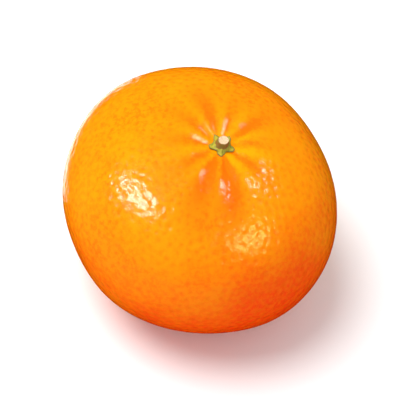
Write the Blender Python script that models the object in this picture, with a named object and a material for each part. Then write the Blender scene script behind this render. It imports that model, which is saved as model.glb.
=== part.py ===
"""A whole mandarin as picked: rind, five-lobed calyx and the cut stub of its stem.

Metres, +Z up. The fruit rests on a small flat spot at z = 0 and its bounding box is centred on
the vertical axis. Its shape is worked out round its own stem axis, which then leans a little.
"""

import math
import random

import bmesh
import bpy
from mathutils import Matrix, Vector

MM = 0.001

# Body: a rounded form, flatter than a ball, whose belt swells in a few broad lobes
BELT_RADIUS = 31.15 * MM
POLE_HEIGHT = 25.45 * MM
BULGE_POWER = 2.063
LOBES = (  # waves round the belt, share of the radius, azimuth of a crest in degrees
    (2, 0.0202, 139.6),
    (3, 0.0044, -13.6),
    (4, 0.0084, 62.6),
)

# Broad, low swells that keep the rind from being a perfect form
SWELL_HEIGHT = 0.22 * MM
SWELL_LENGTHS = (5.2 * MM, 6.1 * MM, 5.6 * MM)
SWELL_PHASES = (0.5, 1.7, 2.9)

# Neck: the dip that holds the calyx, with furrows running out of it between rounded ribs
NECK_DEPTH = 2.4 * MM
NECK_WIDTH = 6.2 * MM
NECK_POWER = 2.6
FURROW_SHARPNESS = 50.0
FURROWS = (  # azimuth in degrees, depth, distance from the stem axis where it is deepest
    (16.0, 0.30 * MM, 6.0 * MM),
    (49.0, 0.42 * MM, 7.0 * MM),
    (84.0, 0.32 * MM, 6.0 * MM),
    (119.0, 0.40 * MM, 7.2 * MM),
    (153.0, 0.32 * MM, 6.4 * MM),
    (188.0, 0.32 * MM, 6.0 * MM),
    (225.0, 0.36 * MM, 6.4 * MM),
    (259.0, 0.60 * MM, 7.2 * MM),
    (290.0, 0.76 * MM, 7.4 * MM),
    (333.0, 0.40 * MM, 6.2 * MM),
)

# Blossom scar: a small dimple at the lower pole
SCAR_DEPTH = 0.95 * MM
SCAR_WIDTH = 1.5 * MM

# Oil-gland pits, larger than life and evenly spread, closer together at both poles
PIT_DEPTH = 0.28 * MM
PIT_VARIATION = 0.45
PIT_SPACING = 3.05 * MM
POLE_SPACING = 1.0 * MM
NECK_ZONE = 11.0 * MM
SCAR_ZONE = 3.6 * MM
MEAN_RADIUS = 28.5 * MM
PIT_JITTER = 0.2
PIT_SEED = 11
NECK_FADE = (5.0 * MM, 12.0 * MM)
FOOT_FADE = (0.3 * MM, 1.2 * MM)

# Pose: the lean of the stem axis, and how far the body's lowest point is pressed flat
LEAN_ANGLE = math.radians(7.5)
LEAN_AZIMUTH = math.radians(-32.0)
FOOT_SINK = 0.65 * MM

# Calyx and stem stub, each a small gap above what it sits on
GAP = 0.3 * MM
CALYX_LOBES = 5
CALYX_TIP = 2.95 * MM
CALYX_NOTCH = 2.0 * MM
CALYX_TURN = math.radians(-13.0)
CALYX_THICKNESS = 0.7 * MM
STUB_FOOT_RADIUS = 1.4 * MM
STUB_TOP_RADIUS = 1.2 * MM
STUB_HEIGHT = 1.25 * MM
STUB_BEVEL = 0.15 * MM

# Finishes: colour, roughness; edges steeper than this stay sharp
SHARP_ANGLE = math.radians(40.0)
RIND_FINISH = ((1.0, 0.27, 0.005), 0.32)
CALYX_FINISH = ((0.30, 0.32, 0.04), 0.6)
STUB_FINISH = ((0.45, 0.30, 0.14), 0.7)


def remove_everything():
    """Remove whatever the scene holds, so that the script gives the same result each run."""
    for thing in list(bpy.data.objects):
        bpy.data.objects.remove(thing, do_unlink=True)


def ramp(value, limits):
    """A smooth 0 to 1 step of value between two limits."""
    low, high = limits
    share = min(max((value - low) / (high - low), 0.0), 1.0)
    return share * share * (3.0 - 2.0 * share)


def body_radius(direction):
    """Distance from the centre to the plain lobed body along a unit direction."""
    azimuth = math.atan2(direction.y, direction.x)
    belt = BELT_RADIUS
    for waves, share, crest in LOBES:
        belt += BELT_RADIUS * share * math.cos(waves * (azimuth - math.radians(crest)))
    across = math.hypot(direction.x, direction.y) / belt
    along = abs(direction.z) / POLE_HEIGHT
    return (across**BULGE_POWER + along**BULGE_POWER) ** (-1.0 / BULGE_POWER)


def swell(point):
    """Height of the broad swells at a point of the plain body."""
    height = SWELL_HEIGHT
    for place, length, phase in zip(point, SWELL_LENGTHS, SWELL_PHASES):
        height *= math.sin(place / length + phase)
    return height


def furrow_depth(point, distance):
    """Summed depth of the neck's furrows at a point this far from the stem axis."""
    depth = 0.0
    for azimuth, deepest, peak in FURROWS:
        turn = math.radians(azimuth)
        facing = (point.x * math.cos(turn) + point.y * math.sin(turn)) / distance
        reach = distance / peak
        along = (reach * math.exp(1.0 - reach)) ** 3
        depth += deepest * along * math.exp(FURROW_SHARPNESS * (facing - 1.0))
    return depth


def rind_radius(direction):
    """Distance from the centre to the rind, without its pits, along a unit direction."""
    radius = body_radius(direction)
    point = direction * radius
    distance = max(math.hypot(point.x, point.y), 0.01 * MM)
    radius += swell(point)
    if direction.z > 0.0:
        radius -= NECK_DEPTH * math.exp(-((distance / NECK_WIDTH) ** NECK_POWER))
        radius -= furrow_depth(point, distance)
    else:
        radius -= SCAR_DEPTH * math.exp(-((distance / SCAR_WIDTH) ** 2))
    return radius


def lean_matrix():
    """Rotation that leans the stem axis, about a level axis square to the lean."""
    axis = Vector((-math.sin(LEAN_AZIMUTH), math.cos(LEAN_AZIMUTH), 0.0))
    return Matrix.Rotation(LEAN_ANGLE, 4, axis)


def place_matrix():
    """Lean the fruit, centre its extent and press its lowest point under z = 0."""
    lean = lean_matrix()
    rings = 90
    points = []
    for ring in range(1, rings):
        polar = math.pi * ring / rings
        for step in range(2 * rings):
            azimuth = math.pi * step / rings
            flat = math.sin(polar)
            way = Vector((flat * math.cos(azimuth), flat * math.sin(azimuth), math.cos(polar)))
            points.append(lean @ (way * rind_radius(way)))
    low = Vector(min(point[axis] for point in points) for axis in range(3))
    high = Vector(max(point[axis] for point in points) for axis in range(3))
    middle = (low + high) / 2.0
    return Matrix.Translation((-middle.x, -middle.y, -low.z - FOOT_SINK)) @ lean


def pit_spacing(polar):
    """Distance between neighbouring pits at this angle from the stem axis."""
    near_neck = math.exp(-((polar * MEAN_RADIUS / NECK_ZONE) ** 4))
    near_scar = math.exp(-(((math.pi - polar) * MEAN_RADIUS / SCAR_ZONE) ** 4))
    return PIT_SPACING - (PIT_SPACING - POLE_SPACING) * (near_neck + near_scar)


def pit_directions():
    """Unit directions of the pits: a golden-angle spiral, spaced by rule and jittered."""
    steps = 4000
    width = math.pi / steps
    ring_area = 2.0 * math.pi * MEAN_RADIUS**2 * width
    cell_share = math.sqrt(3.0) / 2.0
    golden = math.pi * (3.0 - math.sqrt(5.0))
    draw = random.Random(PIT_SEED)
    directions = []
    count = 0.5
    for step in range(steps):
        polar = (step + 0.5) * width
        spacing = pit_spacing(polar)
        count += ring_area * math.sin(polar) / (cell_share * spacing**2)
        while count >= 1.0:
            count -= 1.0
            azimuth = golden * len(directions)
            flat = math.sin(polar)
            way = Vector((flat * math.cos(azimuth), flat * math.sin(azimuth), math.cos(polar)))
            shift = Vector(draw.uniform(-1.0, 1.0) for _ in range(3))
            way += shift * (PIT_JITTER * spacing / MEAN_RADIUS)
            directions.append(way.normalized())
    return directions


def pit_depth(polar, world_height, variation):
    """Depth of a pit, fading out in the neck and towards the resting spot."""
    in_neck = ramp(polar * MEAN_RADIUS, NECK_FADE)
    off_foot = ramp(world_height, FOOT_FADE)
    return PIT_DEPTH * (1.0 + variation) * (0.15 + 0.85 * in_neck) * off_foot


def object_from(bm, name, collection, finish):
    """A smooth-shaded mesh object with its own material, in the collection."""
    mesh = bpy.data.meshes.new(name)
    bm.to_mesh(mesh)
    bm.free()
    mesh.shade_smooth()
    mesh.set_sharp_from_angle(angle=SHARP_ANGLE)
    colour, roughness = finish
    material = bpy.data.materials.new(name)
    material.use_nodes = True
    shader = material.node_tree.nodes["Principled BSDF"]
    shader.inputs["Base Color"].default_value = (*colour, 1.0)
    shader.inputs["Roughness"].default_value = roughness
    shader.inputs["Metallic"].default_value = 0.0
    mesh.materials.append(material)
    thing = bpy.data.objects.new(name, mesh)
    collection.objects.link(thing)
    return thing


def hull_of(bm, directions):
    """Close a skin of triangles over unit directions, and return their vertices."""
    verts = [bm.verts.new(way) for way in directions]
    bmesh.ops.convex_hull(bm, input=verts)
    bmesh.ops.recalc_face_normals(bm, faces=bm.faces)
    return verts


def build_rind(collection, place):
    """The rind: every pit is a low point inside a ring of the rim points between pits."""
    pits = pit_directions()
    spread = bmesh.new()
    hull_of(spread, pits)
    rims = [face.calc_center_median().normalized() for face in spread.faces]
    spread.free()

    bm = bmesh.new()
    verts = hull_of(bm, pits + rims)
    draw = random.Random(PIT_SEED)
    for index, vert in enumerate(verts):
        way = vert.co.copy()
        radius = rind_radius(way)
        if index < len(pits):
            polar = math.acos(max(-1.0, min(1.0, way.z)))
            variation = draw.uniform(-PIT_VARIATION, PIT_VARIATION)
            radius -= pit_depth(polar, (place @ (way * radius)).z, variation)
        vert.co = place @ (way * radius)
    bmesh.ops.recalc_face_normals(bm, faces=bm.faces)
    return object_from(bm, "rind", collection, RIND_FINISH)


def cut_foot(rind, cutters):
    """Cut the resting spot flat at z = 0 with a block under the floor."""
    side = 3.0 * BELT_RADIUS
    bm = bmesh.new()
    bmesh.ops.create_cube(bm, size=side)
    bmesh.ops.translate(bm, verts=bm.verts, vec=(0.0, 0.0, -side / 2.0))
    mesh = bpy.data.meshes.new("foot_cutter")
    bm.to_mesh(mesh)
    bm.free()
    cutter = bpy.data.objects.new("foot_cutter", mesh)
    cutter.hide_render = True
    cutter.display_type = "WIRE"
    cutters.objects.link(cutter)
    cut = rind.modifiers.new("resting spot", "BOOLEAN")
    cut.operation = "DIFFERENCE"
    cut.solver = "EXACT"
    cut.object = cutter


def seat_height(x, y):
    """Height of the rind's neck at a point beside the stem axis, before the lean."""
    height = POLE_HEIGHT - NECK_DEPTH
    for _ in range(6):
        way = Vector((x, y, height)).normalized()
        height = way.z * rind_radius(way)
    return height


def calyx_edge(azimuth):
    """Distance from the stem axis to the calyx's lobed edge."""
    crest = 0.5 + 0.5 * math.cos(CALYX_LOBES * (azimuth - CALYX_TURN))
    return CALYX_NOTCH + (CALYX_TIP - CALYX_NOTCH) * crest**1.3


def build_calyx(collection, place):
    """The calyx: a thin star of five lobes that follows the floor of the neck."""
    bm = bmesh.new()
    bmesh.ops.create_uvsphere(bm, u_segments=40, v_segments=12, radius=1.0)
    for vert in bm.verts:
        azimuth = math.atan2(vert.co.y, vert.co.x)
        share = math.hypot(vert.co.x, vert.co.y)
        distance = share * calyx_edge(azimuth)
        x = distance * math.cos(azimuth)
        y = distance * math.sin(azimuth)
        half = 0.5 * CALYX_THICKNESS
        rise = half * math.copysign(1.0 - share**5, vert.co.z) if share < 0.999 else 0.0
        vert.co = place @ Vector((x, y, seat_height(x, y) + GAP + half + rise))
    bmesh.ops.recalc_face_normals(bm, faces=bm.faces)
    return object_from(bm, "calyx", collection, CALYX_FINISH)


def build_stub(collection, place):
    """The stem stub: a short cut length of stem standing on the calyx."""
    bm = bmesh.new()
    bmesh.ops.create_cone(
        bm,
        cap_ends=True,
        segments=36,
        radius1=STUB_FOOT_RADIUS,
        radius2=STUB_TOP_RADIUS,
        depth=STUB_HEIGHT,
    )
    top_edges = [edge for edge in bm.edges if all(vert.co.z > 0.0 for vert in edge.verts)]
    bmesh.ops.bevel(bm, geom=top_edges, offset=STUB_BEVEL, segments=2, affect="EDGES", profile=0.5)
    floor = seat_height(0.0, 0.0) + GAP + CALYX_THICKNESS + GAP
    bmesh.ops.translate(bm, verts=bm.verts, vec=(0.0, 0.0, floor + STUB_HEIGHT / 2.0))
    bmesh.ops.transform(bm, verts=bm.verts, matrix=place)
    bmesh.ops.recalc_face_normals(bm, faces=bm.faces)
    return object_from(bm, "stem_stub", collection, STUB_FINISH)


def new_collection(name):
    """A collection linked to the scene."""
    collection = bpy.data.collections.new(name)
    bpy.context.scene.collection.children.link(collection)
    return collection


def main():
    """Build the three pieces of the fruit and place them."""
    remove_everything()
    parts = new_collection("mandarin")
    cutters = new_collection("cutters")
    place = place_matrix()
    rind = build_rind(parts, place)
    cut_foot(rind, cutters)
    build_calyx(parts, place)
    build_stub(parts, place)


main()
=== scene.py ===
"""The finished look of a whole mandarin: pitted rind, star calyx and cut stem stub.

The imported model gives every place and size. The rind's form is one rule, worked out both by
Python, to seat the small pieces, and by a geometry node tree, to shape the rind itself.
"""

import logging
import math
from dataclasses import dataclass, field, replace
from enum import Enum
from typing import Callable, Optional, Sequence, Union

import bmesh
import bpy
from mathutils import Matrix, Vector


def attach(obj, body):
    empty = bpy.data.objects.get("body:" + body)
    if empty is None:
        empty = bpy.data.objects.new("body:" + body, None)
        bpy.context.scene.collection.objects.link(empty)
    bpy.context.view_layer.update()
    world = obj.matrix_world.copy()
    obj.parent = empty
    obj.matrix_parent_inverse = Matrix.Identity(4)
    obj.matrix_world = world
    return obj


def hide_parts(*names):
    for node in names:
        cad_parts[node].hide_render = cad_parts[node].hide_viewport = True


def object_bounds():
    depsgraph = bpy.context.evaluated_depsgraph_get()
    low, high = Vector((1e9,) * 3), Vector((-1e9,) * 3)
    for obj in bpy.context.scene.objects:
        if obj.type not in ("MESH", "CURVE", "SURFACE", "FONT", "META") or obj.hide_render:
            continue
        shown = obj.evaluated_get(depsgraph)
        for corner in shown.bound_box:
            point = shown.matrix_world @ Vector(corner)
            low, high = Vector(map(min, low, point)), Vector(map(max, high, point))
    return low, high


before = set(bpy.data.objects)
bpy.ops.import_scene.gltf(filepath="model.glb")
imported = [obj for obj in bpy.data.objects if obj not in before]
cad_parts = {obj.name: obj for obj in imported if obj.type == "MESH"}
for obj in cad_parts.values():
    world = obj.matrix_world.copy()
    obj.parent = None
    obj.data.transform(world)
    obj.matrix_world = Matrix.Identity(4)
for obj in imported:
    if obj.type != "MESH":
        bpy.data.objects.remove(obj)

CAD_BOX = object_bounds()
BODY = "root"
MM = 0.001
LEAST_PIT = 0.75
PIT_SPREAD = 0.6

Socket = bpy.types.NodeSocket

log = logging.getLogger("mandarin")


class Piece(Enum):
    """The pieces of the fruit, by the name of the CAD node that each stands for."""

    RIND = "rind"
    CALYX = "calyx"
    STUB = "stem_stub"


class Trait(Enum):
    """The values stored at every vertex for the finishes to read."""

    PIT = "pit_distance"
    GLAND = "gland_share"
    FURROW = "furrow_share"
    NECK = "neck_distance"
    SCAR = "scar_distance"
    EDGE = "edge_share"
    VEIN = "vein_share"
    FACE = "face_share"


class Field:
    """A number at every point, carried by a socket of a node tree and combined by math nodes."""

    def __init__(self, socket: Socket) -> None:
        """Wrap the output socket that carries the number."""
        self.socket = socket

    def math(self, operation: str, *others: "Number", flip: bool = False) -> "Field":
        """Combine this number with others in a math node.

        Args:
            operation: Blender's name for the operation.
            others: The further numbers, plain or fields.
            flip: Whether this number comes after the first of the others.

        Returns:
            The result as a new field.
        """
        node = self.socket.id_data.nodes.new("ShaderNodeMath")
        node.operation = operation
        values = [self, *others]
        if flip:
            values[0], values[1] = values[1], values[0]
        for value, entry in zip(values, node.inputs):
            feed(entry, value)
        return Field(node.outputs[0])

    def __add__(self, other: "Number") -> "Field":
        """Sum of two numbers."""
        return self.math("ADD", other)

    def __sub__(self, other: "Number") -> "Field":
        """Difference of two numbers."""
        return self.math("SUBTRACT", other)

    def __rsub__(self, other: "Number") -> "Field":
        """Difference, where this number is taken away."""
        return self.math("SUBTRACT", other, flip=True)

    def __mul__(self, other: "Number") -> "Field":
        """Product of two numbers."""
        return self.math("MULTIPLY", other)

    def __truediv__(self, other: "Number") -> "Field":
        """Quotient of two numbers."""
        return self.math("DIVIDE", other)

    def __pow__(self, other: "Number") -> "Field":
        """This number to a power."""
        return self.math("POWER", other)

    def __abs__(self) -> "Field":
        """Size of the number without its sign."""
        return self.math("ABSOLUTE")

    __radd__ = __add__
    __rmul__ = __mul__


Number = Union[float, Field]
Colour = tuple[float, float, float]
Span = tuple[float, float]


def feed(entry: Socket, value: object) -> None:
    """Fill one input of a node.

    Args:
        entry: The input.
        value: A field or an output socket to link to it, or a plain value to set.
    """
    source = value.socket if isinstance(value, Field) else value
    if isinstance(source, Socket):
        entry.id_data.links.new(source, entry)
    else:
        entry.default_value = source


def sine(value: Number) -> Number:
    """Sine of an angle."""
    return value.math("SINE") if isinstance(value, Field) else math.sin(value)


def cosine(value: Number) -> Number:
    """Cosine of an angle."""
    return value.math("COSINE") if isinstance(value, Field) else math.cos(value)


def exponential(value: Number) -> Number:
    """The number e to a power."""
    return value.math("EXPONENT") if isinstance(value, Field) else math.exp(value)


def bearing(y: Number, x: Number) -> Number:
    """Azimuth of a level direction."""
    return y.math("ARCTAN2", x) if isinstance(y, Field) else math.atan2(y, x)


def at_least(value: Number, floor: float) -> Number:
    """The value, or the floor where that is more."""
    return value.math("MAXIMUM", floor) if isinstance(value, Field) else max(value, floor)


def at_most(value: Number, ceiling: float) -> Number:
    """The value, or the ceiling where that is less."""
    return value.math("MINIMUM", ceiling) if isinstance(value, Field) else min(value, ceiling)


def beyond(value: Number, limit: float) -> Number:
    """One where the value is over the limit, and zero elsewhere."""
    return value.math("GREATER_THAN", limit) if isinstance(value, Field) else float(value > limit)


def ramp(value: Number, low: float, high: float) -> Number:
    """A smooth step from 0 at low to 1 at high."""
    share = at_most(at_least((value - low) / (high - low), 0.0), 1.0)
    return share * share * (3.0 - 2.0 * share)


def pit_hollow(distance: Number, width: Number, gland: Number) -> Number:
    """Share of its full depth that a pit has at a distance from its gland's middle."""
    return exponential(-1.0 * (distance / (width * (LEAST_PIT + PIT_SPREAD * gland))) ** 2)


class Tree:
    """A node tree that is built up by short calls."""

    def __init__(self, tree: bpy.types.NodeTree) -> None:
        """Wrap the geometry or shader tree to add to."""
        self.tree = tree

    def add(self, kind: str, entries: Optional[dict] = None, **settings: object) -> bpy.types.Node:
        """Add a node, set its properties and fill or link its inputs.

        Args:
            kind: Blender's type name of the node.
            entries: Input name or number to a value, a socket or a field.
            settings: Properties of the node.

        Returns:
            The new node.
        """
        node = self.tree.nodes.new(kind)
        for name, value in settings.items():
            setattr(node, name, value)
        for key, value in (entries or {}).items():
            feed(node.inputs[key], value)
        return node

    def vector(self, operation: str, entries: dict) -> Socket:
        """Result of a vector math node, by its operation and its inputs."""
        return self.add("ShaderNodeVectorMath", entries, operation=operation).outputs[0]

    def split(self, vector: Socket) -> list[Field]:
        """The three parts of a vector as fields."""
        parts = self.add("ShaderNodeSeparateXYZ", {"Vector": vector})
        return [Field(part) for part in parts.outputs]


@dataclass(frozen=True)
class Lobe:
    """One broad wave round the belt."""

    waves: int
    share: float
    crest: float


@dataclass(frozen=True)
class Furrow:
    """One groove that runs out of the neck: its azimuth in degrees, depth and deepest place."""

    azimuth: float
    depth: float
    peak: float


@dataclass(frozen=True)
class RindForm:
    """The rule of the rind's form round its own stem axis. Sizes may be plain or fields."""

    belt_radius: Number = 31.15 * MM
    pole_height: Number = 25.45 * MM
    bulge_power: float = 2.063
    lobes: Sequence[Lobe] = (
        Lobe(2, 0.0202, 139.6),
        Lobe(3, 0.0044, -13.6),
        Lobe(4, 0.0084, 62.6),
    )
    swell_height: float = 0.22 * MM
    swell_lengths: Sequence[float] = (5.2 * MM, 6.1 * MM, 5.6 * MM)
    swell_phases: Sequence[float] = (0.5, 1.7, 2.9)
    neck_depth: Number = 2.4 * MM
    neck_width: float = 6.2 * MM
    neck_power: float = 2.6
    furrow_power: int = 3
    furrow_sharpness: float = 50.0
    furrows: Sequence[Furrow] = (
        Furrow(16.0, 0.30 * MM, 6.0 * MM),
        Furrow(49.0, 0.42 * MM, 7.0 * MM),
        Furrow(84.0, 0.32 * MM, 6.0 * MM),
        Furrow(119.0, 0.40 * MM, 7.2 * MM),
        Furrow(153.0, 0.32 * MM, 6.4 * MM),
        Furrow(188.0, 0.32 * MM, 6.0 * MM),
        Furrow(225.0, 0.36 * MM, 6.4 * MM),
        Furrow(259.0, 0.60 * MM, 7.2 * MM),
        Furrow(290.0, 0.76 * MM, 7.4 * MM),
        Furrow(333.0, 0.40 * MM, 6.2 * MM),
    )
    scar_depth: Number = 0.95 * MM
    scar_width: float = 1.5 * MM
    least_distance: float = 0.01 * MM
    seat_rounds: int = 6

    def body_radius(self, x: Number, y: Number, z: Number) -> Number:
        """Distance from the centre to the plain lobed body.

        Args:
            x: First part of a unit direction.
            y: Second part.
            z: Part along the stem axis.

        Returns:
            The distance along that direction.
        """
        azimuth = bearing(y, x)
        swelling = 1.0
        for lobe in self.lobes:
            turn = lobe.waves * math.radians(lobe.crest)
            swelling = swelling + lobe.share * cosine(azimuth * lobe.waves - turn)
        across = (x * x + y * y) ** 0.5 / (self.belt_radius * swelling)
        along = abs(z) / self.pole_height
        total = across**self.bulge_power + along**self.bulge_power
        return total ** (-1.0 / self.bulge_power)

    def swell(self, place: Sequence[Number]) -> Number:
        """Height of the broad swells at a point of the plain body.

        Args:
            place: The point.

        Returns:
            The height, which may be below zero.
        """
        height = self.swell_height
        for part, length, phase in zip(place, self.swell_lengths, self.swell_phases):
            height = height * sine(part / length + phase)
        return height

    def furrow_depth(self, x: Number, y: Number, distance: Number) -> Number:
        """Summed depth of the furrows at a point of the upper half.

        Args:
            x: First level part of the point.
            y: Second level part.
            distance: Its distance from the stem axis.

        Returns:
            The depth.
        """
        depth = 0.0
        for furrow in self.furrows:
            turn = math.radians(furrow.azimuth)
            facing = (x * math.cos(turn) + y * math.sin(turn)) / distance
            reach = distance / furrow.peak
            along = (reach * exponential(1.0 - reach)) ** self.furrow_power
            across = exponential(self.furrow_sharpness * (facing - 1.0))
            depth = depth + furrow.depth * along * across
        return depth

    def relief(self, x: Number, y: Number, z: Number) -> tuple[Number, Number, Number]:
        """The rind's distance from its centre along a unit direction, without its pits.

        Args:
            x: First part of the direction.
            y: Second part.
            z: Part along the stem axis.

        Returns:
            The distance, the furrows' depth there and the distance from the stem axis.
        """
        radius = self.body_radius(x, y, z)
        place = (x * radius, y * radius, z * radius)
        level = (place[0] * place[0] + place[1] * place[1]) ** 0.5
        distance = at_least(level, self.least_distance)
        upper = beyond(z, 0.0)
        furrows = self.furrow_depth(place[0], place[1], distance) * upper
        inward = (distance / self.neck_width) ** self.neck_power
        neck = self.neck_depth * exponential(-1.0 * inward)
        scar = self.scar_depth * exponential(-1.0 * (distance / self.scar_width) ** 2)
        dips = neck * upper + scar * (1.0 - upper) + furrows
        return radius + self.swell(place) - dips, furrows, distance

    def seat_height(self, x: float, y: float) -> float:
        """Height of the neck's floor beside the stem axis, before the lean.

        Args:
            x: First level part of the place.
            y: Second level part.

        Returns:
            The height above the fruit's centre.
        """
        height = self.pole_height - self.neck_depth
        for _ in range(self.seat_rounds):
            way = Vector((x, y, height)).normalized()
            height = way.z * self.relief(*way)[0]
        return height


@dataclass(frozen=True)
class Pose:
    """How the fruit came to rest: its lean, and how far its lowest point is pressed flat."""

    form: RindForm
    lean: float = math.radians(7.5)
    lean_azimuth: float = math.radians(-32.0)
    foot_sink: float = 0.65 * MM
    survey_rings: int = 90

    def axis(self) -> Vector:
        """Level axis that the lean turns about."""
        return Vector((-math.sin(self.lean_azimuth), math.cos(self.lean_azimuth), 0.0))

    def offset(self) -> Vector:
        """Shift of the leaning fruit that centres its extent over the floor.

        Returns:
            The shift in metres.
        """
        turn = Matrix.Rotation(self.lean, 3, self.axis())
        places = []
        for ring in range(1, self.survey_rings):
            polar = math.pi * ring / self.survey_rings
            for step in range(2 * self.survey_rings):
                azimuth = math.pi * step / self.survey_rings
                flat = math.sin(polar)
                way = Vector((flat * math.cos(azimuth), flat * math.sin(azimuth), math.cos(polar)))
                places.append(turn @ (way * self.form.relief(*way)[0]))
        low = [min(place[part] for place in places) for part in range(3)]
        high = [max(place[part] for place in places) for part in range(3)]
        middle = [(least + most) / 2.0 for least, most in zip(low, high)]
        return Vector((-middle[0], -middle[1], -low[2] - self.foot_sink))

    def matrix(self) -> Matrix:
        """The whole placement: the lean, then the shift."""
        return Matrix.Translation(self.offset()) @ Matrix.Rotation(self.lean, 4, self.axis())


@dataclass(frozen=True)
class Ripple:
    """Waves round an axis: how many, how high and by how much they are turned."""

    waves: int
    size: float
    phase: float = 0.0

    def at(self, azimuth: float, turn: float = 0.0) -> float:
        """Height of the waves at an azimuth, turned further by an angle."""
        return self.size * math.sin(self.waves * azimuth + self.phase + turn)


@dataclass(frozen=True)
class Pattern:
    """A noise pattern: cells a metre, number and strength of its finer layers, and contrast."""

    scale: float
    detail: float = 3.0
    roughness: float = 0.5
    contrast: Optional[Span] = None


class Shader(Tree):
    """A material's node tree round one Principled shader."""

    def __init__(self, name: str) -> None:
        """Start a material.

        Args:
            name: Name of the material.
        """
        self.material = bpy.data.materials.new(name)
        self.material.use_nodes = True
        super().__init__(self.material.node_tree)
        self.surface = self.tree.nodes["Principled BSDF"]

    def settle(self, **values: object) -> None:
        """Set or link inputs of the Principled shader, named with underscores for spaces."""
        for name, value in values.items():
            feed(self.surface.inputs[name.replace("_", " ")], value)

    def trait(self, trait: Trait) -> Field:
        """A value that the mesh stores at its vertices."""
        return Field(self.add("ShaderNodeAttribute", attribute_name=trait.value).outputs["Fac"])

    def place(self) -> Socket:
        """The object's own coordinates."""
        return self.add("ShaderNodeTexCoord").outputs["Object"]

    def noise(self, pattern: Pattern) -> Field:
        """Smooth noise over the object's own coordinates.

        Args:
            pattern: The noise pattern.

        Returns:
            The noise, from 0 to 1, stretched where the pattern has a contrast.
        """
        entries = {
            "Vector": self.place(),
            "Scale": pattern.scale,
            "Detail": pattern.detail,
            "Roughness": pattern.roughness,
        }
        value = Field(self.add("ShaderNodeTexNoise", entries).outputs["Fac"])
        return ramp(value, *pattern.contrast) if pattern.contrast else value

    def blend(self, share: Number, low: object, high: object) -> Socket:
        """Mix of two colours.

        Args:
            share: How much of the second colour, from 0 to 1.
            low: The first colour, as a socket or three numbers.
            high: The second colour.

        Returns:
            The socket of the mixed colour.
        """
        entries = {"Factor": share}
        node = self.add("ShaderNodeMix", entries, data_type="RGBA", clamp_factor=True)
        colour_entries = [entry for entry in node.inputs if entry.type == "RGBA"]
        for entry, colour in zip(colour_entries, (low, high)):
            feed(entry, colour if isinstance(colour, Socket) else (*colour, 1.0))
        return next(output for output in node.outputs if output.type == "RGBA")

    def bump(self, height: Field, distance: float, below: object = None) -> Socket:
        """Fine relief from a height.

        Args:
            height: The height, from 0 to 1.
            distance: How far 1 stands out, in metres.
            below: A coarser relief that this one lies on.

        Returns:
            The socket of the bent normal.
        """
        entries = {"Strength": 1.0, "Distance": distance, "Height": height}
        if below is not None:
            entries["Normal"] = below
        return self.add("ShaderNodeBump", entries).outputs["Normal"]


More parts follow.
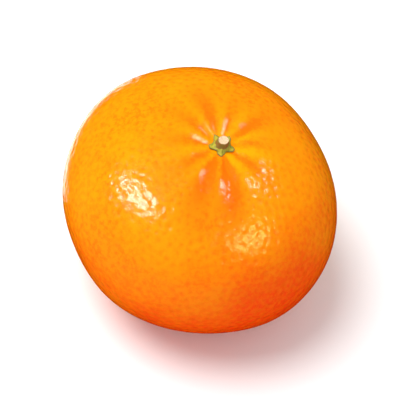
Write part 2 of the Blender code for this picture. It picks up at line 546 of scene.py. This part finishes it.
@dataclass(frozen=True)
class RindFinish:
    """Glossy, waxy, deep orange peel with oil glands that show through, and painted shade and
    light.

    Spans and widths round the neck, the scar and the pits are in millimetres, as the rind
    stores them.
    """

    deep: Colour = (0.95, 0.198, 0.0006)
    bright: Colour = (0.97, 0.285, 0.001)
    # Painted shade: deep red that stands in for shade and red bounce light on the lower front.
    painted_shade: Colour = (0.96, 0.042, 0.0006)
    # Paler yellow: the peel's own tone in mottle and flecks; near the stem also painted light on
    # the lit ridges.
    neck: Colour = (0.96, 0.37, 0.001)
    # Painted shade in the furrows: darker, redder orange in the grooves.
    furrow: Colour = (0.93, 0.105, 0.001)
    # Darker orange in the pit hollows: partly the oil glands' own deeper tint, partly painted
    # shade in the pits.
    gland: Colour = (0.86, 0.095, 0.001)
    scar: Colour = (0.15, 0.070, 0.028)
    scar_ring: Colour = (0.50, 0.26, 0.06)
    sheen: Colour = (1.0, 0.86, 0.82)
    clouds: Pattern = Pattern(55.0, contrast=(0.30, 0.70))
    mottle: Pattern = Pattern(900.0, 4.0, 0.65, contrast=(0.38, 0.62))
    flecks: Pattern = Pattern(1900.0, 2.0, contrast=(0.62, 0.78))
    waves: Pattern = Pattern(680.0, 3.0, 0.6)
    pores: Pattern = Pattern(2600.0, 3.0, 0.6)
    mottle_share: float = 0.62
    fleck_share: float = 0.12
    pit_width: float = 0.42
    pit_tint_and_shade_share: float = 0.32
    neck_span: Span = (3.0, 15.0)
    neck_tint_and_light_share: float = 0.75
    neck_calm: float = 0.8
    furrow_shade_span: Span = (0.08, 0.60)
    furrow_share: float = 0.72
    furrow_mottle: float = 0.2
    # Where the painted shade lies: round a middle on the lower front, squashed, with an uneven
    # edge.
    painted_shade_middle: Sequence[float] = (19.0 * MM, -21.0 * MM, 11.0 * MM)
    painted_shade_squash: float = 0.55
    painted_shade_span: Span = (12.0 * MM, 41.0 * MM)
    painted_shade_waver: float = 6.0 * MM
    painted_shade_mottle: float = 0.18
    ring_span: Span = (1.2, 2.4)
    scar_span: Span = (0.7, 1.3)
    dull_span: Span = (0.8, 2.0)
    roughness: float = 0.125
    pore_roughness: float = 0.06
    dull_roughness: float = 0.35
    dimple_depth: float = 0.016 * MM
    wave_depth: float = 0.14 * MM
    pore_depth: float = 0.018 * MM
    glow: float = 0.35
    glow_reach: Colour = (1.0, 0.28, 0.06)
    glow_depth: float = 2.6 * MM
    refraction: float = 1.45
    wax: float = 0.06
    wax_roughness: float = 0.10

    def painted_shade_share(self, shader: Shader, clouds: Field, mottle: Field) -> Field:
        """Share of the painted shade, a deep red for shade and red bounce light, most on the lower
        front.

        Args:
            shader: The material.
            clouds: Broad noise that makes the patch's edge uneven.
            mottle: Fine noise that thins the patch.

        Returns:
            The share, from 0 to 1.
        """
        place = shader.split(shader.place())
        x, y, z = (part - middle for part, middle in zip(place, self.painted_shade_middle))
        x = x * self.painted_shade_squash
        distance = (x * x + y * y + z * z) ** 0.5 + self.painted_shade_waver * clouds
        return (1.0 - ramp(distance, *self.painted_shade_span)) * (1.0 - self.painted_shade_mottle * mottle)

    def material(self) -> bpy.types.Material:
        """Build the material.

        Returns:
            The finished material.
        """
        shader = Shader("rind peel")
        hollow = pit_hollow(shader.trait(Trait.PIT), self.pit_width, shader.trait(Trait.GLAND))
        clouds, mottle, pores = map(shader.noise, (self.clouds, self.mottle, self.pores))
        neck = 1.0 - ramp(shader.trait(Trait.NECK), *self.neck_span)
        pits = hollow * (1.0 - self.neck_calm * neck)
        furrow = shader.trait(Trait.FURROW) + self.furrow_mottle * mottle
        scar = shader.trait(Trait.SCAR)

        colour = shader.blend(clouds, self.deep, self.bright)
        for share, tint in (
            (mottle * self.mottle_share, self.neck),
            # Painted shade: deep red on the lower front.
            (self.painted_shade_share(shader, clouds, mottle), self.painted_shade),
            # Yellower round the neck: partly the peel's own tone, partly painted light on the lit
            # ridges.
            (neck * self.neck_tint_and_light_share, self.neck),
            # Painted shade darkens the furrows.
            (ramp(furrow, *self.furrow_shade_span) * self.furrow_share, self.furrow),
            # Pit hollows darker: the glands' own tint and painted shade in the pits.
            (pits * self.pit_tint_and_shade_share, self.gland),
            (shader.noise(self.flecks) * self.fleck_share, self.neck),
            (1.0 - ramp(scar, *self.ring_span), self.scar_ring),
            (1.0 - ramp(scar, *self.scar_span), self.scar),
        ):
            colour = shader.blend(share, colour, tint)

        dull = 1.0 - ramp(scar, *self.dull_span)
        dimples = shader.bump(1.0 - pits, self.dimple_depth)
        rolling = shader.bump(shader.noise(self.waves), self.wave_depth, dimples)
        shader.settle(
            Base_Color=colour,
            Roughness=self.roughness + self.pore_roughness * pores + self.dull_roughness * dull,
            Normal=shader.bump(pores, self.pore_depth, rolling),
            Subsurface_Weight=self.glow,
            Subsurface_Radius=self.glow_reach,
            Subsurface_Scale=self.glow_depth,
            IOR=self.refraction,
            Specular_Tint=(*self.sheen, 1.0),
            Coat_Weight=self.wax,
            Coat_Roughness=self.wax_roughness,
        )
        return shader.material


@dataclass(frozen=True)
class CalyxFinish:
    """Dry green star, yellower on its ribs and brown at its rim."""

    leaf: Colour = (0.24, 0.26, 0.012)
    light: Colour = (0.56, 0.46, 0.03)
    dry: Colour = (0.16, 0.085, 0.03)
    mottle: Pattern = Pattern(1500.0, 4.0, 0.6)
    mottle_span: Span = (0.35, 0.65)
    mottle_share: float = 0.6
    vein_share: float = 0.55
    dry_span: Span = (1.0, 1.16)
    dry_mottle: float = 0.25
    relief_depth: float = 0.05 * MM
    roughness: float = 0.52
    mottle_roughness: float = 0.2
    glow: float = 0.08
    glow_reach: Colour = (0.6, 0.8, 0.2)
    glow_depth: float = 0.4 * MM

    def material(self) -> bpy.types.Material:
        """Build the material.

        Returns:
            The finished material.
        """
        shader = Shader("calyx leaf")
        mottle = shader.noise(self.mottle)
        rim = shader.trait(Trait.EDGE) + self.dry_mottle * mottle
        light = ramp(mottle, *self.mottle_span) * self.mottle_share
        colour = shader.blend(light, self.leaf, self.light)
        colour = shader.blend(shader.trait(Trait.VEIN) * self.vein_share, colour, self.light)
        colour = shader.blend(ramp(rim, *self.dry_span), colour, self.dry)
        shader.settle(
            Base_Color=colour,
            Roughness=self.roughness + self.mottle_roughness * mottle,
            Normal=shader.bump(mottle, self.relief_depth),
            Subsurface_Weight=self.glow,
            Subsurface_Radius=self.glow_reach,
            Subsurface_Scale=self.glow_depth,
        )
        return shader.material


@dataclass(frozen=True)
class StubFinish:
    """Cut stem: pale pith on its face, brown bark round its side."""

    pith: Colour = (0.72, 0.52, 0.32)
    heart: Colour = (0.42, 0.25, 0.09)
    bark: Colour = (0.30, 0.125, 0.022)
    moss: Colour = (0.24, 0.19, 0.025)
    grain: Pattern = Pattern(3200.0, 4.0, 0.65)
    patches: Pattern = Pattern(1100.0, 2.0, contrast=(0.4, 0.65))
    heart_span: Span = (0.45, 0.75)
    heart_share: float = 0.7
    face_span: Span = (0.35, 0.65)
    grain_depth: float = 0.06 * MM
    roughness: float = 0.6
    grain_roughness: float = 0.25

    def material(self) -> bpy.types.Material:
        """Build the material.

        Returns:
            The finished material.
        """
        shader = Shader("stem wood")
        grain = shader.noise(self.grain)
        bark = shader.blend(shader.noise(self.patches), self.bark, self.moss)
        heart = ramp(grain, *self.heart_span) * self.heart_share
        pith = shader.blend(heart, self.pith, self.heart)
        face = ramp(shader.trait(Trait.FACE), *self.face_span)
        shader.settle(
            Base_Color=shader.blend(face, bark, pith),
            Roughness=self.roughness + self.grain_roughness * grain,
            Normal=shader.bump(grain, self.grain_depth),
        )
        return shader.material


@dataclass(frozen=True)
class FloorFinish:
    """Plain matt white surface without any gloss."""

    colour: Colour = (0.93, 0.93, 0.93)
    roughness: float = 0.85

    def material(self) -> bpy.types.Material:
        """Build the material.

        Returns:
            The finished material.
        """
        shader = Shader("pale floor")
        colour = (*self.colour, 1.0)
        shader.settle(Base_Color=colour, Roughness=self.roughness, Specular_IOR_Level=0.0)
        return shader.material


def link(name: str, data: bpy.types.ID) -> bpy.types.Object:
    """Make an object at the origin.

    Args:
        name: Name of the object.
        data: Its mesh, light or camera.

    Returns:
        The linked object.
    """
    thing = bpy.data.objects.new(name, data)
    bpy.context.scene.collection.objects.link(thing)
    return thing


def hand_over(thing: bpy.types.Object, piece: Piece) -> None:
    """Make a finished piece stand for its CAD node.

    Args:
        thing: The finished piece.
        piece: The node that it stands for.
    """
    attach(thing, BODY)
    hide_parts(piece.value)
    sizes = " x ".join(f"{span / MM:.1f}" for span in thing.dimensions)
    log.info("%s: %d faces, %s mm", thing.name, len(thing.data.polygons), sizes)


@dataclass
class Rind:
    """The rind, grown by a geometry node tree over evenly spread oil glands.

    The distances that it stores for the finish are in millimetres. On the half that has no
    neck or no scar, the distance from it is told as far_mm.
    """

    form: RindForm
    pose: Pose
    finish: RindFinish = field(default_factory=RindFinish)
    ball_radius: float = 28.5 * MM
    ball_detail: int = 6
    pit_gap: float = 1.72 * MM
    pit_density: float = 2.2e6
    pit_depth: float = 0.13 * MM
    pit_width: float = 0.50 * MM
    least_depth: float = 0.6
    depth_spread: float = 0.7
    unevenness: float = 1.4
    unevenness_scale: float = 900.0
    calm_span: Span = (5.0 * MM, 13.0 * MM)
    calm_share: float = 0.85
    full_furrow: float = 0.8 * MM
    far_mm: float = 90.0
    foot_softness: float = 0.35 * MM
    refinement: int = 2
    seed: int = 7

    def inputs(self) -> dict[str, tuple[str, object]]:
        """Named inputs of the tree.

        Returns:
            The socket type and value of each.
        """
        distance = "NodeSocketFloat"
        return {
            "Belt radius": (distance, self.form.belt_radius),
            "Pole height": (distance, self.form.pole_height),
            "Neck depth": (distance, self.form.neck_depth),
            "Scar depth": (distance, self.form.scar_depth),
            "Pit gap": (distance, self.pit_gap),
            "Pit depth": (distance, self.pit_depth),
            "Pit width": (distance, self.pit_width),
            "Seed": ("NodeSocketInt", self.seed),
            "Peel": ("NodeSocketMaterial", self.finish.material()),
        }

    def glands(self, tree: Tree, sizes: dict[str, Field]) -> Socket:
        """Spread points evenly over a ball, one for each oil gland.

        Args:
            tree: The tree to build in.
            sizes: The tree's named inputs.

        Returns:
            The socket of the points.
        """
        entries = {"Radius": self.ball_radius, "Subdivisions": self.ball_detail}
        ball = tree.add("GeometryNodeMeshIcoSphere", entries)
        entries = {
            "Mesh": ball.outputs["Mesh"],
            "Distance Min": sizes["Pit gap"],
            "Density Max": self.pit_density,
            "Seed": sizes["Seed"],
        }
        kind = "GeometryNodeDistributePointsOnFaces"
        spread = tree.add(kind, entries, distribute_method="POISSON")
        return self.on_ball(tree, spread.outputs["Points"])

    def on_ball(self, tree: Tree, shape: Socket) -> Socket:
        """Move points onto the ball.

        Args:
            tree: The tree to build in.
            shape: The socket of the geometry.

        Returns:
            The socket of the moved geometry.
        """
        position = tree.add("GeometryNodeInputPosition").outputs[0]
        way = tree.vector("NORMALIZE", {0: position})
        place = tree.vector("SCALE", {0: way, "Scale": self.ball_radius})
        moved = tree.add("GeometryNodeSetPosition", {"Geometry": shape, "Position": place})
        return moved.outputs["Geometry"]

    def nearest(self, tree: Tree, points: Socket, sizes: dict[str, Field]) -> tuple[Field, Field]:
        """Find the oil gland nearest to each point of the skin.

        Args:
            tree: The tree to build in.
            points: The socket of the glands.
            sizes: The tree's named inputs.

        Returns:
            The distance from its middle, made uneven, and the gland's own share.
        """
        position = tree.add("GeometryNodeInputPosition").outputs[0]
        entries = {"Geometry": points, "Sample Position": position}
        near = tree.add("GeometryNodeProximity", entries, target_element="POINTS")
        which = tree.add("GeometryNodeSampleNearest", entries)
        entries = {"Vector": position, "Scale": self.unevenness_scale, "Detail": 1.0}
        uneven = Field(tree.add("ShaderNodeTexNoise", entries).outputs[0])
        distance = Field(near.outputs["Distance"]) * (1.0 + self.unevenness * (uneven - 0.5))
        # Inputs 2 and 3 are the limits of a plain number.
        entries = {"ID": which.outputs["Index"], "Seed": sizes["Seed"], 2: 0.0, 3: 1.0}
        draw = tree.add("FunctionNodeRandomValue", entries, data_type="FLOAT")
        return distance, Field(draw.outputs[1])

    def rested(self, tree: Tree, grown: Socket) -> Socket:
        """Lean a grown place, shift it and press the lowest ones flat.

        Args:
            tree: The tree to build in.
            grown: The socket of the place round the stem axis.

        Returns:
            The socket of the place as it rests.
        """
        entries = {"Vector": grown, "Axis": self.pose.axis(), "Angle": self.pose.lean}
        leant = tree.add("ShaderNodeVectorRotate", entries, rotation_type="AXIS_ANGLE").outputs[0]
        x, y, z = tree.split(tree.vector("ADD", {0: leant, 1: self.pose.offset()}))
        entries = {"X": x, "Y": y, "Z": z.math("SMOOTH_MAX", 0.0, self.foot_softness)}
        return tree.add("ShaderNodeCombineXYZ", entries).outputs[0]

    def build_tree(self, inputs: dict[str, tuple[str, object]]) -> bpy.types.NodeTree:
        """Build the tree that grows the rind.

        Args:
            inputs: The named inputs that it is to have.

        Returns:
            The node tree.
        """
        group = bpy.data.node_groups.new("rind growth", "GeometryNodeTree")
        shape = "NodeSocketGeometry"
        group.interface.new_socket("Geometry", in_out="INPUT", socket_type=shape)
        for name, (kind, _) in inputs.items():
            group.interface.new_socket(name, in_out="INPUT", socket_type=kind)
        group.interface.new_socket("Geometry", in_out="OUTPUT", socket_type=shape)
        tree = Tree(group)
        entry = tree.add("NodeGroupInput")
        sizes = {name: Field(entry.outputs[name]) for name in inputs}

        points = self.glands(tree, sizes)
        hull = tree.add("GeometryNodeConvexHull", {"Geometry": points}).outputs[0]
        fine = tree.add("GeometryNodeSubdivideMesh", {"Mesh": hull, "Level": self.refinement})
        skin = self.on_ball(tree, fine.outputs["Mesh"])

        way = tree.vector("NORMALIZE", {0: tree.add("GeometryNodeInputPosition").outputs[0]})
        x, y, z = tree.split(way)
        pit, gland = self.nearest(tree, points, sizes)
        form = replace(
            self.form,
            belt_radius=sizes["Belt radius"],
            pole_height=sizes["Pole height"],
            neck_depth=sizes["Neck depth"],
            scar_depth=sizes["Scar depth"],
        )
        radius, furrows, distance = form.relief(x, y, z)
        upper = beyond(z, 0.0)
        calm = 1.0 - upper * (1.0 - ramp(distance, *self.calm_span)) * self.calm_share
        depth = sizes["Pit depth"] * (self.least_depth + self.depth_spread * gland)
        radius = radius - depth * pit_hollow(pit, sizes["Pit width"], gland) * calm

        traits = {
            Trait.PIT: pit / MM,
            Trait.GLAND: gland,
            Trait.FURROW: furrows / self.full_furrow,
            Trait.NECK: distance / MM * upper + self.far_mm * (1.0 - upper),
            Trait.SCAR: distance / MM * (1.0 - upper) + self.far_mm * upper,
        }
        for trait, value in traits.items():
            entries = {"Geometry": skin, "Name": trait.value, "Value": value}
            skin = tree.add("GeometryNodeStoreNamedAttribute", entries).outputs["Geometry"]

        place = self.rested(tree, tree.vector("SCALE", {0: way, "Scale": radius}))
        for kind, entries in (
            ("GeometryNodeSetPosition", {"Position": place}),
            ("GeometryNodeSetShadeSmooth", {}),
            ("GeometryNodeRealizeInstances", {}),
            ("GeometryNodeSetMaterial", {"Material": sizes["Peel"]}),
        ):
            skin = tree.add(kind, {"Geometry": skin, **entries}).outputs[0]
        tree.add("NodeGroupOutput", {"Geometry": skin})
        return group

    def build(self) -> bpy.types.Object:
        """Grow the rind and make it a plain mesh.

        Returns:
            The finished piece.
        """
        inputs = self.inputs()
        group = self.build_tree(inputs)
        carrier = link("rind carrier", bpy.data.meshes.new("rind carrier"))
        growth = carrier.modifiers.new("growth", "NODES")
        growth.node_group = group
        for item in group.interface.items_tree:
            if item.in_out == "INPUT" and item.name in inputs:
                growth[item.identifier] = inputs[item.name][1]
        graph = bpy.context.evaluated_depsgraph_get()
        mesh = bpy.data.meshes.new_from_object(carrier.evaluated_get(graph), depsgraph=graph)
        mesh.name = "rind peel"
        carrier.modifiers.remove(growth)
        bpy.data.objects.remove(carrier)
        return link("rind_peel", mesh)


@dataclass(frozen=True)
class RoundShell:
    """A closed shell over a disc, from rings of points round an axis."""

    steps: int
    rings: int

    def build(
        self,
        name: str,
        place: Callable[[float, float, bool], Vector],
        traits: Callable[[float, float, bool], dict[Trait, float]],
    ) -> bpy.types.Mesh:
        """Build the shell's top, then its underside, joined at the rim.

        Args:
            name: Name of the mesh.
            place: Point for a share of the way to the rim, an azimuth and whether it is on top.
            traits: Values to store at that point.

        Returns:
            The mesh.
        """
        bm = bmesh.new()
        names = traits(0.0, 0.0, True)
        layers = {trait: bm.verts.layers.float.new(trait.value) for trait in names}

        def point(share: float, azimuth: float, top: bool) -> bmesh.types.BMVert:
            """Add one vertex with its values.

            Args:
                share: Share of the way from the axis to the rim.
                azimuth: Azimuth round the axis.
                top: Whether the point is on top.

            Returns:
                The vertex.
            """
            vert = bm.verts.new(place(share, azimuth, top))
            for trait, value in traits(share, azimuth, top).items():
                vert[layers[trait]] = value
            return vert

        tops = [(ring / self.rings, True) for ring in range(1, self.rings + 1)]
        unders = [(ring / self.rings, False) for ring in range(self.rings - 1, 0, -1)]
        turns = [2.0 * math.pi * step / self.steps for step in range(self.steps)]
        rows = [[point(share, turn, top) for turn in turns] for share, top in tops + unders]
        for upper, lower in zip(rows, rows[1:]):
            for step in range(self.steps):
                after = (step + 1) % self.steps
                bm.faces.new((upper[step], lower[step], lower[after], upper[after]))
        for row, top in ((rows[0], True), (rows[-1], False)):
            pole = point(0.0, 0.0, top)
            for step in range(self.steps):
                bm.faces.new((pole, row[step], row[(step + 1) % self.steps]))
        bmesh.ops.recalc_face_normals(bm, faces=bm.faces)
        mesh = bpy.data.meshes.new(name)
        bm.to_mesh(mesh)
        bm.free()
        mesh.shade_smooth()
        return mesh


@dataclass
class Calyx:
    """Five-lobed dried star that lies in the neck round the stem."""

    form: RindForm
    pose: Pose
    finish: CalyxFinish = field(default_factory=CalyxFinish)
    shell: RoundShell = RoundShell(steps=200, rings=22)
    lobes: int = 5
    lobe_power: float = 1.5
    tip: float = 2.95 * MM
    notch: float = 1.95 * MM
    turn: float = math.radians(-13.0)
    unevenness: Sequence[Ripple] = (Ripple(2, 0.07, 0.6), Ripple(3, 0.05, 2.0))
    raggedness: Sequence[Ripple] = (Ripple(17, 0.05 * MM, 1.0), Ripple(31, 0.04 * MM))
    hub_span: Span = (1.275 * MM, 2.125 * MM)
    hub_height: float = 0.95 * MM
    leaf_height: float = 0.42 * MM
    rim_height: float = 0.22 * MM
    thin_start: float = 0.55
    root: float = 0.08 * MM
    vein_height: float = 0.10 * MM
    vein_power: int = 24
    vein_tint_power: int = 30
    curl_start: float = 0.7
    curl_height: float = 0.22 * MM
    curl_gap: float = 0.14 * MM
    curl_wave: Ripple = Ripple(2, 0.5, 1.1)

    def lobe_share(self, azimuth: float) -> float:
        """One along the middle of a lobe, zero at a notch."""
        return 0.5 + 0.5 * math.cos(self.lobes * (azimuth - self.turn))

    def edge(self, azimuth: float) -> float:
        """Distance from the stem axis to the ragged edge.

        Args:
            azimuth: Azimuth round the stem axis.

        Returns:
            The distance in metres.
        """
        crest = self.lobe_share(azimuth) ** self.lobe_power
        uneven = 1.0 + sum(ripple.at(azimuth) for ripple in self.unevenness)
        ragged = sum(ripple.at(azimuth) for ripple in self.raggedness)
        return self.notch + (self.tip - self.notch) * crest * uneven + ragged

    def height(self, share: float, azimuth: float, distance: float) -> float:
        """Height of the star's top over the rind.

        Args:
            share: Share of the way from the axis to the edge.
            azimuth: Azimuth round the stem axis.
            distance: Distance from the axis.

        Returns:
            The height in metres.
        """
        hub = 1.0 - ramp(distance, *self.hub_span)
        thin = ramp(share, self.thin_start, 1.0)
        leaf = self.leaf_height + (self.rim_height - self.leaf_height) * thin
        vein = self.vein_height * self.lobe_share(azimuth) ** self.vein_power * (1.0 - thin)
        curl = self.curl_height * ramp(share, self.curl_start, 1.0)
        curl *= 0.5 + self.curl_wave.at(azimuth)
        return leaf + (self.hub_height - leaf) * hub + vein + curl

    def place(self, share: float, azimuth: float, top: bool) -> Vector:
        """A point of the star, round the stem axis before the lean.

        Args:
            share: Share of the way from the axis to the edge.
            azimuth: Azimuth round the stem axis.
            top: Whether the point is on the top side.

        Returns:
            The point.
        """
        distance = share * self.edge(azimuth)
        x = distance * math.cos(azimuth)
        y = distance * math.sin(azimuth)
        seat = self.form.seat_height(x, y)
        rise = self.height(share, azimuth, distance) if top else -self.root
        if not top and share > self.curl_start:
            under = self.height(share, azimuth, distance) - self.rim_height - self.curl_gap
            rise = max(rise, under)
        return Vector((x, y, seat + rise))

    def traits(self, share: float, azimuth: float, top: bool) -> dict[Trait, float]:
        """Values for the finish to read at a point."""
        vein = self.lobe_share(azimuth) ** self.vein_tint_power if top else 0.0
        return {Trait.EDGE: share, Trait.VEIN: vein}

    def build(self) -> bpy.types.Object:
        """Build the star and place it in the neck.

        Returns:
            The finished piece.
        """
        mesh = self.shell.build("calyx star", self.place, self.traits)
        mesh.transform(self.pose.matrix())
        mesh.materials.append(self.finish.material())
        return link("calyx_star", mesh)


@dataclass
class StemStub:
    """Short cut length of stem that stands on the calyx."""

    form: RindForm
    pose: Pose
    finish: StubFinish = field(default_factory=StubFinish)
    shell: RoundShell = RoundShell(steps=120, rings=24)
    face_end: float = 0.5
    tint_end: float = 0.52
    bevel_end: float = 0.3
    base: float = 0.70 * MM
    top: float = 2.50 * MM
    foot_radius: float = 1.38 * MM
    top_radius: float = 1.20 * MM
    collar: float = 0.16 * MM
    collar_power: int = 4
    bevel: float = 0.16 * MM
    dish: float = 0.14 * MM
    dish_power: int = 3
    slant: float = math.radians(5.0)
    unevenness: Sequence[Ripple] = (Ripple(2, 0.035, 0.4), Ripple(5, 0.025))
    ridges: Ripple = Ripple(9, 0.035 * MM)
    ridge_twist: float = 4.0
    flutes: Ripple = Ripple(23, 0.03 * MM)
    flute_twist: float = 3.0

    def face(self, share: float, azimuth: float) -> tuple[float, float]:
        """A point of the dished cut face.

        Args:
            share: Share of the way from the axis to the bevel.
            azimuth: Azimuth round the stem axis.

        Returns:
            Its distance from the axis and its height.
        """
        ridges = self.ridges.at(azimuth, self.ridge_twist * share) * share
        height = self.top - self.dish * (1.0 - share**self.dish_power) + ridges
        return share * (self.top_radius - self.bevel), height

    def side(self, share: float, azimuth: float) -> tuple[float, float]:
        """A point of the bevel or of the fluted side below it.

        Args:
            share: Share of the way from the face down to the foot.
            azimuth: Azimuth round the stem axis.

        Returns:
            Its distance from the axis and its height.
        """
        turn = min(share / self.bevel_end, 1.0) * math.pi / 2.0
        drop = max(share - self.bevel_end, 0.0) / (1.0 - self.bevel_end)
        bark = self.flutes.at(azimuth, self.flute_twist * drop)
        wider = (self.foot_radius - self.top_radius) * drop
        wider += self.collar * drop**self.collar_power
        distance = self.top_radius - self.bevel + self.bevel * math.sin(turn) + wider + bark
        height = self.top - self.bevel * (1.0 - math.cos(turn))
        return distance, height - (self.top - self.bevel - self.base) * drop

    def place(self, share: float, azimuth: float, top: bool) -> Vector:
        """A point of the stub, round the stem axis before the lean.

        Args:
            share: Share of the way from the axis to the widest ring at the foot.
            azimuth: Azimuth round the stem axis.
            top: Whether the point is on the face or side, and not under the foot.

        Returns:
            The point.
        """
        if not top:
            distance, height = share * self.foot_radius, self.base
        elif share <= self.face_end:
            distance, height = self.face(share / self.face_end, azimuth)
        else:
            below = (share - self.face_end) / (1.0 - self.face_end)
            distance, height = self.side(below, azimuth)
        distance *= 1.0 + sum(ripple.at(azimuth) for ripple in self.unevenness)
        x = distance * math.cos(azimuth)
        y = distance * math.sin(azimuth)
        tilt = math.tan(self.slant) * x * ramp(height, self.base, self.top)
        return Vector((x, y, self.form.seat_height(0.0, 0.0) + height + tilt))

    def traits(self, share: float, azimuth: float, top: bool) -> dict[Trait, float]:
        """Values for the finish to read at a point."""
        return {Trait.FACE: 1.0 if top and share <= self.tint_end else 0.0}

    def build(self) -> bpy.types.Object:
        """Build the stub and stand it on the calyx.

        Returns:
            The finished piece.
        """
        mesh = self.shell.build("stem stub", self.place, self.traits)
        mesh.transform(self.pose.matrix())
        mesh.materials.append(self.finish.material())
        return link("stem_cut", mesh)


def aim(thing: bpy.types.Object, target: Vector, back: Vector, roll: float) -> None:
    """Place a light or camera back from a point, facing it, and roll it by an angle."""
    turn = back.to_track_quat("Z", "Y").to_matrix() @ Matrix.Rotation(roll, 3, "Z")
    thing.matrix_world = Matrix.Translation(target + back) @ turn.to_4x4()


class Reach(Enum):
    """What a light reaches: whether it shows in gloss, and whether it lights the body."""

    GLOSS = (True, False)
    BODY = (False, True)


@dataclass(frozen=True)
class SoftLight:
    """One oval studio light, with its angles in degrees, sizes in metres and power in watts."""

    name: str
    azimuth: float
    elevation: float
    distance: float
    width: float
    height: float
    power: float
    roll: float = 0.0
    colour: Colour = (1.0, 1.0, 1.0)
    reach: Reach = Reach.GLOSS

    def build(self, target: Vector) -> None:
        """Hang the light.

        Args:
            target: The point that it faces.
        """
        lamp = bpy.data.lights.new(self.name, "AREA")
        lamp.shape = "ELLIPSE"
        lamp.size = self.width
        lamp.size_y = self.height
        lamp.energy = self.power
        lamp.color = self.colour
        thing = link(self.name, lamp)
        azimuth = math.radians(self.azimuth)
        elevation = math.radians(self.elevation)
        flat = math.cos(elevation)
        way = Vector((flat * math.cos(azimuth), flat * math.sin(azimuth), math.sin(elevation)))
        aim(thing, target, way * self.distance, math.radians(self.roll))
        thing.visible_glossy, thing.visible_diffuse = self.reach.value
        thing.visible_camera = False


@dataclass(frozen=True)
class PhotoCamera:
    """Long lens at the photograph's viewing angle."""

    elevation: float = math.radians(54.0)
    roll: float = math.radians(10.0)
    lens: float = 200.0
    distance: float = 0.50
    target: Sequence[float] = (0.0, 0.0, 24.5 * MM)
    nearest: float = 10.0 * MM

    def build(self) -> None:
        """Place the camera and make it the scene's own."""
        camera = bpy.data.cameras.new("camera")
        camera.lens = self.lens
        camera.clip_start = self.nearest
        thing = link("camera", camera)
        back = Vector((0.0, -math.cos(self.elevation), math.sin(self.elevation)))
        aim(thing, Vector(self.target), back * self.distance, self.roll)
        bpy.context.scene.camera = thing


@dataclass
class Studio:
    """Plain pale floor, four lights for gloss, one for the body and an even white surround."""

    floor_side: float = 3.2
    surround: float = 0.69
    floor: FloorFinish = field(default_factory=FloorFinish)
    lights: Sequence[SoftLight] = (
        SoftLight("key glint", 203.5, 41.0, 0.6, 0.37, 0.085, 2.7, roll=25.0),
        SoftLight("side glint", -38.0, 35.0, 0.8, 0.30, 0.22, 2.5, colour=(1.0, 0.8, 0.25)),
        SoftLight("neck glint", 16.0, 57.5, 0.8, 0.08, 0.045, 1.0),
        SoftLight("rim card", 129.0, -32.5, 0.113, 0.085, 0.030, 0.016, roll=-38.0),
        SoftLight("overhead", 180.0, 66.0, 0.8, 0.60, 0.60, 6.9, reach=Reach.BODY),
    )

    def build(self) -> None:
        """Lay the floor, hang the lights and set the surround."""
        bm = bmesh.new()
        bmesh.ops.create_grid(bm, x_segments=1, y_segments=1, size=self.floor_side / 2.0)
        mesh = bpy.data.meshes.new("floor")
        bm.to_mesh(mesh)
        bm.free()
        mesh.materials.append(self.floor.material())
        floor = link("floor", mesh)
        floor.visible_glossy = False
        target = Vector((0.0, 0.0, 0.5 * CAD_BOX[1][2]))
        for light in self.lights:
            light.build(target)
        world = bpy.data.worlds.new("surround")
        world.use_nodes = True
        sky = world.node_tree.nodes["Background"]
        sky.inputs["Color"].default_value = (1.0, 1.0, 1.0, 1.0)
        sky.inputs["Strength"].default_value = self.surround
        bpy.context.scene.world = world
        world.cycles_visibility.glossy = False
        bpy.context.scene.view_settings.view_transform = "Standard"


def main() -> None:
    """Build the fruit's pieces and the studio, in order."""
    logging.basicConfig(level=logging.INFO, format="%(name)s: %(message)s")
    form = RindForm()
    pose = Pose(form)
    hand_over(Rind(form, pose).build(), Piece.RIND)
    hand_over(Calyx(form, pose).build(), Piece.CALYX)
    hand_over(StemStub(form, pose).build(), Piece.STUB)
    Studio().build()
    PhotoCamera().build()


if __name__ == "__main__":
    main()
